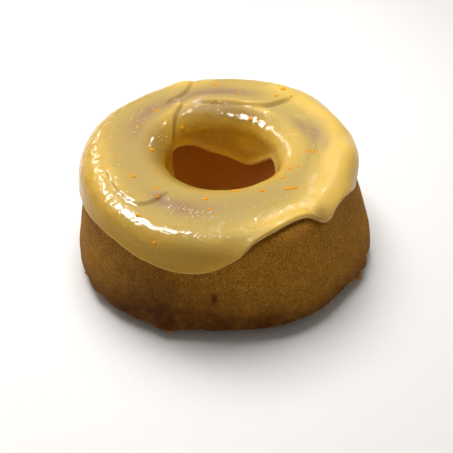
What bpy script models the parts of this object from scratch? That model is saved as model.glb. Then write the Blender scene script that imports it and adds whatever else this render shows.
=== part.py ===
"""An iced orange ring cake, standing as it was turned out of its ring tin.

The sponge is a ring with a round hole through its middle: a flat top with a rounded shoulder, a side
that leans out to a belly near the ground, and a foot that curves in under it. One coat of orange icing
was poured over the top. It hangs down the side and into the hole in uneven lobes, its pours lie over
one another in low folds, and flecks of orange zest are set in it.

Lengths are millimetres and angles are degrees, until a vertex is placed in metres. A bearing is the
angle round the cake, from +X towards +Y, so that 270 faces the front. A reach is a distance along the
sponge's surface from the crown, a circle on top of the ring: positive outwards and down the side,
negative inwards and down the hole.
"""

import math
import random

import bmesh
import bpy
import numpy as np
from mathutils import Matrix, Vector

METRES = 0.001

# Sponge: heights above the ground, radii from the cake's axis, and slopes from upright.
TOP_HEIGHT = 67.4
WIDEST_RADIUS = 100.0
WIDEST_HEIGHT = 10.2
FOOT_RADIUS = 81.3
SIDE_LEAN = 18.0
SHOULDER_ROUND = 12.0
BELLY_ROUND = 60.0
CROWN_RADIUS = 56.0
HOLE_RADIUS = 35.5
HOLE_LEAN = 7.3
HOLE_FOOT_HEIGHT = 8.0
HOLE_FOOT_FLARE = 5.0
LIP_ROUND = 10.5
LIP_FALL = 7.0
HOLE_OFFSET = (-2.6, -1.5)
CAKE_OFFSET = (-0.8, -1.9)

# The ring is not quite round. Each swell or hollow is (bearing, half width, amount).
LOW_SWELLS = (
    (345, 12, 0.6),
    (5, 15, -3.4),
    (318, 12, -1.5),
    (274, 18, -3.6),
    (224, 20, 2.6),
    (187, 21, -5.4),
    (120, 30, 1.2),
    (60, 22, -1.0),
)
HIGH_SWELLS = (
    (348, 30, -9.4),
    (192, 28, -7.2),
    (128, 22, -2.2),
    (72, 22, 1.0),
)
TOP_HEAVES = ((60, 16, 0.9), (95, 18, -0.5), (200, 35, 0.4), (250, 20, -0.6), (350, 30, 0.3))
SWELL_BLEND = (6.0, 62.0)
HOLE_SWELLS = ((348, 38, 4.2), (120, 25, 0.8))

# Batter that ran out under the tin's rim, and the crags of the crust above it.
FOOT_LUMPS = (
    (250, 3.6, 2.6),
    (262, 3.0, -1.0),
    (334, 3.0, 1.8),
    (339, 2.5, -1.2),
    (226, 4.0, -1.2),
    (20, 4.0, 1.4),
    (75, 3.5, -1.2),
    (110, 4.5, 1.6),
    (160, 4.0, -1.1),
    (196, 3.5, 1.2),
)
CRAG_DEPTH = 0.45
CRAG_WAVES = (13, 21, 34)
CRAG_FADE = (3.0, 26.0)

# Icing: where it ends on the side and in the hole, as (bearing, reach) points round the cake.
OUTER_EDGE = (
    (8, 33.0),
    (28, 37.0),
    (50, 30.5),
    (73, 41.0),
    (98, 32.0),
    (122, 40.5),
    (146, 35.5),
    (172, 42.0),
    (200, 43.4),
    (228, 41.4),
    (242, 44.0),
    (257, 45.8),
    (267, 42.8),
    (275, 36.0),
    (282, 28.8),
    (291, 25.0),
    (299, 23.4),
    (304, 23.8),
    (307, 25.4),
    (309, 28.4),
    (311.6, 31.2),
    (315, 31.8),
    (319.4, 30.6),
    (326, 30.4),
    (333, 32.6),
    (342, 36.6),
    (352, 36.4),
)
INNER_EDGE = (
    (14, -30.5),
    (30, -38.0),
    (42, -44.0),
    (56, -47.2),
    (70, -46.3),
    (88, -44.0),
    (104, -41.0),
    (122, -34.5),
    (137, -31.0),
    (152, -28.5),
    (164, -31.0),
    (172, -50.0),
    (183, -58.0),
    (205, -54.0),
    (230, -40.0),
    (255, -34.0),
    (282, -37.0),
    (312, -32.0),
    (345, -33.0),
)
ICING_GAP = 0.5
ICING_FILM = 1.5
THINNEST_ICING = 0.8
EDGE_ROUND = 1.6
EDGE_BEAD = 1.5
EDGE_BEAD_WIDTH = 4.0

# Thick pools and thin patches of the icing: (bearing, reach, half length round, half width, amount).
ICING_POOLS = (
    (60, 15, 10, 9, 2.4),
    (345, 27, 34, 9, 5.8),
    (354, 26, 14, 8, 2.6),
    (352, 12, 40, 9, 1.5),
    (312, 26, 6, 5, 1.4),
    (20, 18, 22, 9, 1.0),
    (300, 14, 20, 8, 0.9),
    (195, 35, 46, 13, 7.6),
    (150, -14, 12, 10, 1.4),
    (245, 38, 22, 7, 1.0),
    (55, -38, 9, 8, 1.4),
    (181, -56, 12, 13, 2.4),
    (105, 8, 22, 8, -0.5),
    (258, 2, 26, 11, -0.6),
    (258, 31, 12, 5, -0.9),
    (145, 16, 22, 9, -0.4),
    (25, 2, 14, 8, -0.4),
)

# Folds, where one pour of icing stopped on another: the height of the step, how far back the thicker
# icing takes to thin away, and the (bearing, reach) points of its edge. The thicker icing lies to the
# left of the edge on a map that has bearings running to the right and reaches upwards.
OUTER_FOLD = (
    (105, 27),
    (108, 19),
    (112, 12),
    (117, 8),
    (125, 6),
    (134, 4.5),
)
HOLE_FOLD = (
    (136, 2),
    (127, 1.6),
    (119, -0.6),
    (119, -5),
    (126, -10),
    (136, -15.5),
    (148, -20),
    (160, -24),
    (168, -34),
)
BACK_FOLD = (
    (50, 19),
    (49, 12),
    (50, 5),
    (54, -3),
    (63, -6.5),
    (75, -7.5),
    (90, -8),
    (102, -7.5),
    (112, -4),
    (118, 2),
)
FRONT_FOLD = (
    (238, -9),
    (237, 0),
    (236, 8),
    (235, 14),
    (232, 20),
    (226, 21.8),
    (218, 22.5),
    (208, 23.5),
    (198, 25),
)
ICING_FOLDS = (
    (2.2, 14.0, OUTER_FOLD),
    (2.4, 13.0, HOLE_FOLD),
    (2.6, 10.0, BACK_FOLD),
    (1.8, 16.0, FRONT_FOLD),
)
FOLD_STEP = (-0.5, 2.0)
FOLD_TAPER = 0.2

# Flecks of zest: (bearing, reach, length, width, turn) of the largest, then a rule for small ones.
LARGE_FLECKS = (
    (315.5, 3.6, 4.4, 1.4, -30),
    (313.0, 0.4, 2.2, 1.7, 0),
    (352, 8, 3.0, 1.9, 0),
    (301, -8, 2.5, 1.7, 15),
    (283, -13, 3.6, 1.4, 5),
    (262, -6, 2.5, 1.5, 170),
    (335, -12.5, 2.2, 1.5, 30),
    (322, -10.5, 2.2, 1.4, 150),
    (60, -16, 2.8, 2.2, 60),
    (57.5, 17, 3.2, 2.2, 20),
    (56, 7, 2.4, 1.3, 0),
    (95.5, 16.5, 2.6, 1.9, 10),
    (80, 4, 2.6, 1.4, 0),
    (140, 4, 2.4, 1.4, 160),
    (184, -14, 3.0, 1.5, 70),
    (133, -20, 2.8, 2.2, 90),
    (213, 10, 2.9, 1.7, 170),
    (229, 1, 2.2, 1.5, 40),
    (235, 24, 2.4, 1.5, 20),
    (337, 22, 2.2, 1.5, 75),
    (246, 32, 2.0, 1.4, 0),
)
FLECK_THICKNESS = 0.9
SMALL_FLECK_COUNT = 10
SMALL_FLECK_LENGTH = (1.4, 2.0)
SMALL_FLECK_WIDTH = 1.2
SMALL_FLECK_REACH = (-10.0, 20.0)
FLECK_SEED = 7
GOLDEN_ANGLE = 137.5

# Mesh fineness: rings round the cake, and stations round the section of each ring.
RINGS = 90
SIDE_STATIONS = 7
SHOULDER_STATIONS = 5
LIP_STATIONS = 5
WALL_STATIONS = 5
FOOT_STATIONS = 4
ICING_OVER_STATIONS = (7, 6, 9)
ICING_UNDER_STATIONS = (6, 3, 8)
ICING_FLAT = (17.0, -9.0)
EDGE_ROUND_ANGLES = (-30.0, 30.0)


def side_runs():
    """The (length, turn) runs of the outer profile, from the crown to the widest point."""
    lean = math.radians(SIDE_LEAN)
    curve_drop = SHOULDER_ROUND * (1 - math.sin(lean)) + BELLY_ROUND * math.sin(lean)
    wall = (TOP_HEIGHT - WIDEST_HEIGHT - curve_drop) / math.cos(lean)
    curve_across = SHOULDER_ROUND * math.cos(lean) + BELLY_ROUND * (1 - math.cos(lean))
    flat = WIDEST_RADIUS - CROWN_RADIUS - curve_across - wall * math.sin(lean)
    shoulder_turn = 90 - SIDE_LEAN
    return (
        (flat, 0.0),
        (SHOULDER_ROUND * math.radians(shoulder_turn), shoulder_turn),
        (wall, 0.0),
        (BELLY_ROUND * lean, SIDE_LEAN),
    )


def hole_runs():
    """The (length, turn) runs of the hole's profile, from the crown to the top of its foot."""
    lean = math.radians(HOLE_LEAN)
    fall = math.radians(LIP_FALL)
    lip_turn = 90 - HOLE_LEAN - LIP_FALL
    lip_across = LIP_ROUND * (math.cos(lean) - math.sin(fall))
    lip_drop = LIP_ROUND * (math.cos(fall) - math.sin(lean))
    flat = (CROWN_RADIUS - HOLE_RADIUS - lip_across) / math.cos(fall / 2)
    flat_drop = flat * math.sin(fall / 2)
    wall = (TOP_HEIGHT - flat_drop - lip_drop - HOLE_FOOT_HEIGHT) / math.cos(lean)
    return (
        (flat, LIP_FALL),
        (LIP_ROUND * math.radians(lip_turn), lip_turn),
        (wall, 0.0),
    )


SIDE_RUNS = side_runs()
HOLE_RUNS = hole_runs()


def follow(runs, reach):
    """How far across, how far down and at what slope a chain of runs is, at each reach along it."""
    across = np.zeros_like(reach)
    drop = np.zeros_like(reach)
    slope = np.zeros_like(reach)
    covered = 0.0
    start = 0.0
    for length, turn in runs:
        step = np.clip(reach - covered, 0.0, length)
        bend = math.radians(turn) / length
        if turn:
            across += (np.sin(start + bend * step) - math.sin(start)) / bend
            drop += (math.cos(start) - np.cos(start + bend * step)) / bend
        else:
            across += step * math.cos(start)
            drop += step * math.sin(start)
        slope += bend * step
        covered += length
        start += math.radians(turn)
    return across, drop, slope


def profile(reach, lift):
    """Radius and height of the points that lie a lift above the sponge's profile at each reach."""
    out_across, out_drop, out_slope = follow(SIDE_RUNS, np.maximum(reach, 0.0))
    in_across, in_drop, in_slope = follow(HOLE_RUNS, np.maximum(-reach, 0.0))
    slope = out_slope - in_slope
    radius = CROWN_RADIUS + out_across - in_across + lift * np.sin(slope)
    height = TOP_HEIGHT - out_drop - in_drop + lift * np.cos(slope)
    return radius, height


def smooth_step(value, low, high):
    """0 below low, 1 above high, and a smooth rise between them."""
    share = np.clip((value - low) / (high - low), 0.0, 1.0)
    return share * share * (3 - 2 * share)


def turn_between(bearing, centre):
    """The signed angle from centre to each bearing, the short way round."""
    return (bearing - centre + 180.0) % 360.0 - 180.0


def swell(bearing, swells):
    """The sum of (bearing, half width, amount) swells at each bearing."""
    total = np.zeros_like(bearing)
    for centre, half_width, amount in swells:
        total += amount * np.exp(-((turn_between(bearing, centre) / half_width) ** 2))
    return total


def place(bearing, radius, height):
    """Positions on the cake's uneven ring of points given by bearing, radius and height."""
    outward = smooth_step(radius, HOLE_RADIUS + LIP_ROUND, CROWN_RADIUS + LIP_ROUND)
    upward = smooth_step(height, *SWELL_BLEND)
    bulge = upward * swell(bearing, HIGH_SWELLS) + (1 - upward) * swell(bearing, LOW_SWELLS)
    radius = radius + outward * bulge + (1 - outward) * swell(bearing, HOLE_SWELLS)
    height = height * (1 + outward * swell(bearing, TOP_HEAVES) / TOP_HEIGHT)
    angle = np.radians(bearing)
    x = radius * np.cos(angle) + (1 - outward) * HOLE_OFFSET[0] + CAKE_OFFSET[0]
    y = radius * np.sin(angle) + (1 - outward) * HOLE_OFFSET[1] + CAKE_OFFSET[1]
    return np.stack([x, y, height], axis=-1)


def round_curve(points, bearing):
    """A smooth closed curve through (bearing, value) points, read at each bearing."""
    knots = np.array([point[0] for point in points], dtype=float)
    values = np.array([point[1] for point in points], dtype=float)
    spots = (knots - knots[0]) % 360.0
    gaps = np.diff(np.append(spots, 360.0))
    slopes = (np.roll(values, -1) - np.roll(values, 1)) / (gaps + np.roll(gaps, 1))
    offset = (bearing - knots[0]) % 360.0
    before = np.searchsorted(spots, offset, side="right") - 1
    after = (before + 1) % len(points)
    share = (offset - spots[before]) / gaps[before]
    blend = share * share * (3 - 2 * share)
    start_pull = gaps[before] * slopes[before] * share * (1 - share) ** 2
    end_pull = gaps[before] * slopes[after] * share**2 * (share - 1)
    return values[before] * (1 - blend) + values[after] * blend + start_pull + end_pull


def map_offset(bearing, reach, centre_bearing, centre_reach):
    """Millimetres round the cake and millimetres of reach from a centre to each point."""
    radius, _ = profile(np.array(float(centre_reach)), 0.0)
    around = turn_between(bearing, centre_bearing) * math.radians(1.0) * radius
    return around, reach - centre_reach


def pool_depth(bearing, reach):
    """How much the pools and thin patches add to the icing."""
    depth = np.zeros_like(reach)
    for centre_bearing, centre_reach, half_length, half_width, amount in ICING_POOLS:
        around, outward = map_offset(bearing, reach, centre_bearing, centre_reach)
        depth += amount * np.exp(-((around / half_length) ** 2) - (outward / half_width) ** 2)
    return depth


def fold_depth(bearing, reach, height, fall_length, route):
    """How much one fold adds to the icing: a rounded step at its edge, then a slow fall behind it."""
    nearest = np.full_like(reach, np.inf)
    behind = np.zeros_like(reach)
    position = np.zeros_like(reach)
    covered = 0.0
    for start, end in zip(route[:-1], route[1:]):
        edge_around, edge_outward = map_offset(end[0], end[1], start[0], start[1])
        around, outward = map_offset(bearing, reach, start[0], start[1])
        length = math.hypot(edge_around, edge_outward)
        share = np.clip((around * edge_around + outward * edge_outward) / length**2, 0.0, 1.0)
        distance = np.hypot(around - share * edge_around, outward - share * edge_outward)
        side = np.sign(edge_around * outward - edge_outward * around)
        closer = distance < nearest
        nearest = np.where(closer, distance, nearest)
        behind = np.where(closer, side * distance, behind)
        position = np.where(closer, covered + share * length, position)
        covered += length
    step = smooth_step(behind, *FOLD_STEP)
    fall = np.exp(-((np.maximum(behind, 0.0) / fall_length) ** 2))
    end_length = FOLD_TAPER * covered
    taper = smooth_step(position, 0.0, end_length) * smooth_step(covered - position, 0.0, end_length)
    return height * step * fall * taper


def icing_edges(bearing):
    """The reach of the icing's outer and inner edge at each bearing."""
    return round_curve(OUTER_EDGE, bearing), round_curve(INNER_EDGE, bearing)


def icing_depth(bearing, reach):
    """How thick the icing is, away from the rounding of its two edges."""
    outer_reach, inner_reach = icing_edges(bearing)
    depth = ICING_FILM + pool_depth(bearing, reach)
    for height, fall_length, route in ICING_FOLDS:
        depth += fold_depth(bearing, reach, height, fall_length, route)
    from_edge = np.minimum(outer_reach - reach, reach - inner_reach)
    depth += EDGE_BEAD * np.exp(-((from_edge / EDGE_BEAD_WIDTH) ** 2))
    return np.maximum(depth, THINNEST_ICING)


def on_cake(bearing, reach, lift):
    """Positions a lift above the sponge's surface."""
    radius, height = profile(reach, lift)
    return place(bearing, radius, height)


def on_icing(bearing, reach):
    """Positions on top of the icing."""
    return on_cake(bearing, reach, ICING_GAP + icing_depth(bearing, reach))


def ring_bearings():
    """The bearing of each ring, as a column that stations run across."""
    return np.arange(RINGS)[:, None] * 360.0 / RINGS


def ring_of_sections(name, points):
    """A torus whose rings and stations are moved to points, in millimetres."""
    bpy.ops.mesh.primitive_torus_add(major_segments=points.shape[0], minor_segments=points.shape[1])
    ring = bpy.context.object
    ring.name = name
    ring.data.name = name
    ring.data.vertices.foreach_set("co", (points * METRES).ravel())
    ring.data.update()
    return ring


def sponge_section():
    """Radius and height round the sponge's section: up the side, over the top, down the hole and back."""
    flat, shoulder, wall, belly = (length for length, turn in SIDE_RUNS)
    hole_flat, lip, hole_wall = (length for length, turn in HOLE_RUNS)
    side = np.linspace(flat + shoulder + wall + belly, flat + shoulder, SIDE_STATIONS)[:-1]
    over_shoulder = np.linspace(flat + shoulder, flat, SHOULDER_STATIONS)
    over_lip = np.linspace(-hole_flat, -hole_flat - lip, LIP_STATIONS)
    down_hole = np.linspace(-hole_flat - lip, -hole_flat - lip - hole_wall, WALL_STATIONS)[1:]
    reach = np.concatenate([side, over_shoulder, over_lip, down_hole])
    radius, height = profile(reach, 0.0)

    hole_foot = np.radians(np.linspace(0, 90, FOOT_STATIONS))[1:]
    hole_foot_radius = radius[-1] + HOLE_FOOT_FLARE * (1 - np.cos(hole_foot))
    hole_foot_height = HOLE_FOOT_HEIGHT * (1 - np.sin(hole_foot))
    foot = np.radians(np.linspace(90, 0, FOOT_STATIONS))[:-1]
    foot_radius = FOOT_RADIUS + (WIDEST_RADIUS - FOOT_RADIUS) * np.cos(foot)
    foot_height = WIDEST_HEIGHT * (1 - np.sin(foot))
    radius = np.concatenate([radius, hole_foot_radius, foot_radius])
    height = np.concatenate([height, hole_foot_height, foot_height])
    return radius, height


def crumb_relief(bearing, height):
    """How far the rough lower side of the sponge stands out: batter lumps and crags."""
    crags = np.zeros_like(bearing)
    for count in CRAG_WAVES:
        crags += np.sin(np.radians(count * bearing) + count) / len(CRAG_WAVES)
    low = 1 - smooth_step(height, *CRAG_FADE)
    off_ground = smooth_step(height, 0.0, CRAG_FADE[0])
    return off_ground * low * (swell(bearing, FOOT_LUMPS) + CRAG_DEPTH * crags)


def make_sponge():
    """The sponge ring: one section carried round, with a rough lower side."""
    radius, height = sponge_section()
    bearing = ring_bearings() + np.zeros_like(radius)
    radius = radius + np.zeros_like(bearing)
    height = height + np.zeros_like(bearing)
    on_side = smooth_step(radius, CROWN_RADIUS, FOOT_RADIUS)
    radius = radius + on_side * crumb_relief(bearing, height)
    return ring_of_sections("sponge", place(bearing, radius, height))


def icing_reaches(outer_end, inner_end, counts):
    """Reaches from the outer to the inner end: down the side, over the flat top and down the hole."""
    outer_flat, inner_flat = ICING_FLAT
    side_count, flat_count, hole_count = counts
    down_side = np.linspace(0, 1, side_count + 1)[:-1]
    over_flat = np.linspace(0, 1, flat_count + 1)[:-1]
    down_hole = np.linspace(0, 1, hole_count + 1)
    side = outer_end + (outer_flat - outer_end) * down_side
    flat = outer_flat + (inner_flat - outer_flat) * over_flat + np.zeros_like(outer_end)
    hole = inner_flat + (inner_end - inner_flat) * down_hole
    return np.concatenate([side, flat, hole], axis=1)


def edge_rounding(end, depth, way):
    """Reach and lift of the stations that round one edge of the icing, seen from its lower side up."""
    angles = np.radians(EDGE_ROUND_ANGLES)
    reach = end + way * EDGE_ROUND * np.cos(angles)
    lift = ICING_GAP + depth * (1 + np.sin(angles)) / 2
    return reach, lift


def make_icing():
    """The coat of icing: a closed section over the cake's top and back along the sponge."""
    bearing = ring_bearings()
    outer_reach, inner_reach = icing_edges(bearing)
    outer_end = outer_reach - EDGE_ROUND
    inner_end = inner_reach + EDGE_ROUND
    over = icing_reaches(outer_end, inner_end, ICING_OVER_STATIONS)
    under = icing_reaches(outer_end, inner_end, ICING_UNDER_STATIONS)[:, ::-1]
    over_depth = icing_depth(bearing, over)
    outer_round, outer_lift = edge_rounding(outer_end, over_depth[:, :1], 1)
    inner_round, inner_lift = edge_rounding(inner_end, over_depth[:, -1:], -1)
    reach = np.concatenate([outer_round, over, inner_round[:, ::-1], under], axis=1)
    lift = np.concatenate(
        [outer_lift, ICING_GAP + over_depth, inner_lift[:, ::-1], np.full_like(under, ICING_GAP)],
        axis=1,
    )
    return ring_of_sections("icing", on_cake(bearing, reach, lift))


def fleck_places():
    """The (bearing, reach, length, width, turn) of every fleck of zest."""
    draw = random.Random(FLECK_SEED)
    places = list(LARGE_FLECKS)
    for number in range(SMALL_FLECK_COUNT):
        bearing = (number * GOLDEN_ANGLE + draw.uniform(-12, 12)) % 360
        reach = draw.uniform(*SMALL_FLECK_REACH)
        length = draw.uniform(*SMALL_FLECK_LENGTH)
        turn = draw.uniform(0, 180)
        places.append((bearing, reach, length, SMALL_FLECK_WIDTH, turn))
    return places


def fleck_frame(icing, bearing, reach):
    """The place on the icing and the axes (round the cake, towards its axis, up from it) for a fleck."""
    spot = on_icing(np.array([float(bearing)]), np.array([float(reach)]))[0]
    _, here, up, _ = icing.closest_point_on_mesh(Vector(spot) * METRES)
    angle = math.radians(bearing)
    inward = up.cross(Vector((-math.sin(angle), math.cos(angle), 0.0))).normalized()
    around = inward.cross(up)
    return here, Matrix((around, inward, up)).transposed()


def make_fleck(icing, bearing, reach, length, width, turn):
    """One fleck of zest, a faceted pip half sunk in the icing."""
    here, axes = fleck_frame(icing, bearing, reach)
    shape = Matrix.Diagonal((length / 2, width / 2, FLECK_THICKNESS / 2)) * METRES
    turned = axes @ Matrix.Rotation(math.radians(turn), 3, "Z") @ shape
    mesh = bpy.data.meshes.new("fleck")
    pip = bmesh.new()
    bmesh.ops.create_icosphere(pip, subdivisions=1, radius=1.0)
    bmesh.ops.transform(pip, matrix=turned.to_4x4(), verts=pip.verts)
    bmesh.ops.translate(pip, vec=here, verts=pip.verts)
    pip.to_mesh(mesh)
    pip.free()
    return bpy.data.objects.new("fleck", mesh)


def fuse_flecks(icing):
    """Join all flecks of zest to the icing by one Boolean union."""
    flecks = bpy.data.collections.new("flecks")
    bpy.context.scene.collection.children.link(flecks)
    for spot in fleck_places():
        flecks.objects.link(make_fleck(icing, *spot))
    union = icing.modifiers.new("zest", "BOOLEAN")
    union.operation = "UNION"
    union.operand_type = "COLLECTION"
    union.collection = flecks
    union.solver = "EXACT"
    bpy.context.view_layer.update()
    fused = bpy.data.meshes.new_from_object(icing.evaluated_get(bpy.context.evaluated_depsgraph_get()))
    icing.modifiers.remove(union)
    icing.data = fused
    icing.data.name = icing.name
    for fleck in list(flecks.objects):
        bpy.data.objects.remove(fleck, do_unlink=True)
    bpy.data.collections.remove(flecks)


def food_material(name, colour, roughness):
    """A plain non-metal material."""
    material = bpy.data.materials.new(name)
    material.use_nodes = True
    shader = material.node_tree.nodes["Principled BSDF"]
    shader.inputs["Base Color"].default_value = (*colour, 1.0)
    shader.inputs["Roughness"].default_value = roughness
    shader.inputs["Metallic"].default_value = 0.0
    return material


def finish(part, material, collection):
    """Shade a part smooth, give it its material and move it to the cake's collection."""
    part.data.materials.clear()
    part.data.materials.append(material)
    part.data.shade_smooth()
    for holder in list(part.users_collection):
        holder.objects.unlink(part)
    collection.objects.link(part)


def build_cake():
    """Clear the scene, then make the cake's two parts."""
    for thing in list(bpy.data.objects):
        bpy.data.objects.remove(thing, do_unlink=True)
    cake = bpy.data.collections.new("orange_cake")
    bpy.context.scene.collection.children.link(cake)
    sponge = make_sponge()
    icing = make_icing()
    fuse_flecks(icing)
    finish(sponge, food_material("golden_sponge_crust", (0.30, 0.15, 0.045), 0.85), cake)
    finish(icing, food_material("orange_icing", (0.76, 0.50, 0.14), 0.25), cake)


build_cake()
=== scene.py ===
"""The looks of an iced orange ring cake: a fine sponge ring with a browned, crumbly crust, a glossy coat of
poured orange icing, zest in it, and crumbs at its foot.

Shapes are worked out in millimetres and degrees and are placed in metres. A bearing is the angle round the
cake, from +X towards +Y, so that 270 faces the front. A reach is a distance along the sponge's surface from
the crown, a circle on top of the ring: positive outwards and down the side, negative inwards and down the
hole. The values of the first part are those of the model's own source.
"""

import math
import random

import bmesh
import bpy
import numpy as np
from mathutils import Matrix, Vector, noise
from mathutils.bvhtree import BVHTree


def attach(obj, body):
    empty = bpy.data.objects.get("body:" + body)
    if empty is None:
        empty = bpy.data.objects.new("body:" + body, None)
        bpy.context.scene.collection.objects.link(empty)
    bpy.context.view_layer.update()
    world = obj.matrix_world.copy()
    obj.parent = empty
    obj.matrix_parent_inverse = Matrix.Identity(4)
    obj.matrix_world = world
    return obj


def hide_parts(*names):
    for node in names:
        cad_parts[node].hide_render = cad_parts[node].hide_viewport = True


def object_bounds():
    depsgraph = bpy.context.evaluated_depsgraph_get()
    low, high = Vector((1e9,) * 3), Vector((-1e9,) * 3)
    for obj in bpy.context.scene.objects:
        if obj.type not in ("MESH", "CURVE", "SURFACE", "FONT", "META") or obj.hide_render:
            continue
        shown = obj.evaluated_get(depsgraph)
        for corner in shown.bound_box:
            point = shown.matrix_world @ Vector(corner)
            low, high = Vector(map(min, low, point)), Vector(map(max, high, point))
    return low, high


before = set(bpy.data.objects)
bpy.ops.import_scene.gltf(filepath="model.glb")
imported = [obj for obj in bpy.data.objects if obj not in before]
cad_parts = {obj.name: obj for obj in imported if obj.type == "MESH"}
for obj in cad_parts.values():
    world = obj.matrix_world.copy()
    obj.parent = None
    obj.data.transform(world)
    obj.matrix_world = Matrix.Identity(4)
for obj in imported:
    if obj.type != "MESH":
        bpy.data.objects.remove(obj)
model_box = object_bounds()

METRES = 0.001
SEAM_GAP = 1e-7  # in metres: the two ends of a rolled-up sheet lie closer than this

# Sponge: heights above the ground, radii from the cake's axis, and slopes from upright.
TOP_HEIGHT = 67.4
WIDEST_RADIUS = 100.0
WIDEST_HEIGHT = 10.2
FOOT_RADIUS = 81.3
SIDE_LEAN = 18.0
SHOULDER_ROUND = 12.0
BELLY_ROUND = 60.0
CROWN_RADIUS = 56.0
HOLE_RADIUS = 35.5
HOLE_LEAN = 7.3
HOLE_FOOT_HEIGHT = 8.0
HOLE_FOOT_FLARE = 5.0
LIP_ROUND = 10.5
LIP_FALL = 7.0
HOLE_OFFSET = (-2.6, -1.5)
CAKE_OFFSET = (-0.8, -1.9)

# The ring is not quite round. Each swell or hollow is (bearing, half width, amount).
LOW_SWELLS = (
    (345, 12, 0.6),
    (5, 15, -3.4),
    (318, 12, -1.5),
    (274, 18, -3.6),
    (224, 20, 2.6),
    (187, 21, -5.4),
    (120, 30, 1.2),
    (60, 22, -1.0),
)
HIGH_SWELLS = (
    (348, 30, -9.4),
    (192, 28, -7.2),
    (128, 22, -2.2),
    (72, 22, 1.0),
)
TOP_HEAVES = ((60, 16, 0.9), (95, 18, -0.5), (200, 35, 0.4), (250, 20, -0.6), (350, 30, 0.3))
SWELL_BLEND = (6.0, 62.0)
HOLE_SWELLS = ((348, 38, 4.2), (120, 25, 0.8))

# Batter that ran out under the tin's rim, and the crags of the crust above it.
FOOT_LUMPS = (
    (250, 3.6, 2.6),
    (262, 3.0, -1.0),
    (334, 3.0, 1.8),
    (339, 2.5, -1.2),
    (226, 4.0, -1.2),
    (20, 4.0, 1.4),
    (75, 3.5, -1.2),
    (110, 4.5, 1.6),
    (160, 4.0, -1.1),
    (196, 3.5, 1.2),
)
CRAG_DEPTH = 0.45
CRAG_WAVES = (13, 21, 34)
CRAG_FADE = (3.0, 26.0)

# Icing: where it ends on the side and in the hole, as (bearing, reach) points round the cake.
OUTER_EDGE = (
    (8, 33.0),
    (28, 37.0),
    (50, 30.5),
    (73, 41.0),
    (98, 32.0),
    (122, 40.5),
    (146, 35.5),
    (172, 42.0),
    (200, 43.4),
    (228, 41.4),
    (242, 44.0),
    (257, 45.8),
    (267, 42.8),
    (275, 36.0),
    (282, 28.8),
    (291, 25.0),
    (299, 23.4),
    (304, 23.8),
    (307, 25.4),
    (309, 28.4),
    (311.6, 31.2),
    (315, 31.8),
    (319.4, 30.6),
    (326, 30.4),
    (333, 32.6),
    (342, 36.6),
    (352, 36.4),
)
INNER_EDGE = (
    (14, -30.5),
    (30, -38.0),
    (42, -44.0),
    (56, -47.2),
    (70, -46.3),
    (88, -44.0),
    (104, -41.0),
    (122, -34.5),
    (137, -31.0),
    (152, -28.5),
    (164, -31.0),
    (172, -50.0),
    (183, -58.0),
    (205, -54.0),
    (230, -40.0),
    (255, -34.0),
    (282, -37.0),
    (312, -32.0),
    (345, -33.0),
)
ICING_FILM = 1.5
THINNEST_ICING = 0.8
EDGE_ROUND = 1.6
EDGE_BEAD = 1.5
EDGE_BEAD_WIDTH = 4.0
ICING_GAP = 0.5

# Thick pools and thin patches of the icing: (bearing, reach, half length round, half width, amount).
ICING_POOLS = (
    (60, 15, 10, 9, 2.4),
    (345, 27, 34, 9, 5.8),
    (354, 26, 14, 8, 2.6),
    (352, 12, 40, 9, 1.5),
    (312, 26, 6, 5, 1.4),
    (20, 18, 22, 9, 1.0),
    (300, 14, 20, 8, 0.9),
    (195, 35, 46, 13, 7.6),
    (150, -14, 12, 10, 1.4),
    (245, 38, 22, 7, 1.0),
    (55, -38, 9, 8, 1.4),
    (181, -56, 12, 13, 2.4),
    (105, 8, 22, 8, -0.5),
    (258, 2, 26, 11, -0.6),
    (258, 31, 12, 5, -0.9),
    (145, 16, 22, 9, -0.4),
    (25, 2, 14, 8, -0.4),
)

# Folds, where one pour of icing stopped on another: the height of the step, how far back the thicker
# icing takes to thin away, and the (bearing, reach) points of its edge.
OUTER_FOLD = (
    (105, 27),
    (108, 19),
    (112, 12),
    (117, 8),
    (125, 6),
    (134, 4.5),
)
HOLE_FOLD = (
    (136, 2),
    (127, 1.6),
    (119, -0.6),
    (119, -5),
    (126, -10),
    (136, -15.5),
    (148, -20),
    (160, -24),
    (168, -34),
)
BACK_FOLD = (
    (50, 19),
    (49, 12),
    (50, 5),
    (54, -3),
    (63, -6.5),
    (75, -7.5),
    (90, -8),
    (102, -7.5),
    (112, -4),
    (118, 2),
)
FRONT_FOLD = (
    (238, -9),
    (237, 0),
    (236, 8),
    (235, 14),
    (232, 20),
    (226, 21.8),
    (218, 22.5),
    (208, 23.5),
    (198, 25),
)
ICING_FOLDS = (
    (2.2, 14.0, OUTER_FOLD),
    (2.4, 13.0, HOLE_FOLD),
    (2.6, 10.0, BACK_FOLD),
    (1.8, 16.0, FRONT_FOLD),
)
FOLD_TAPER = 0.2

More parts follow.
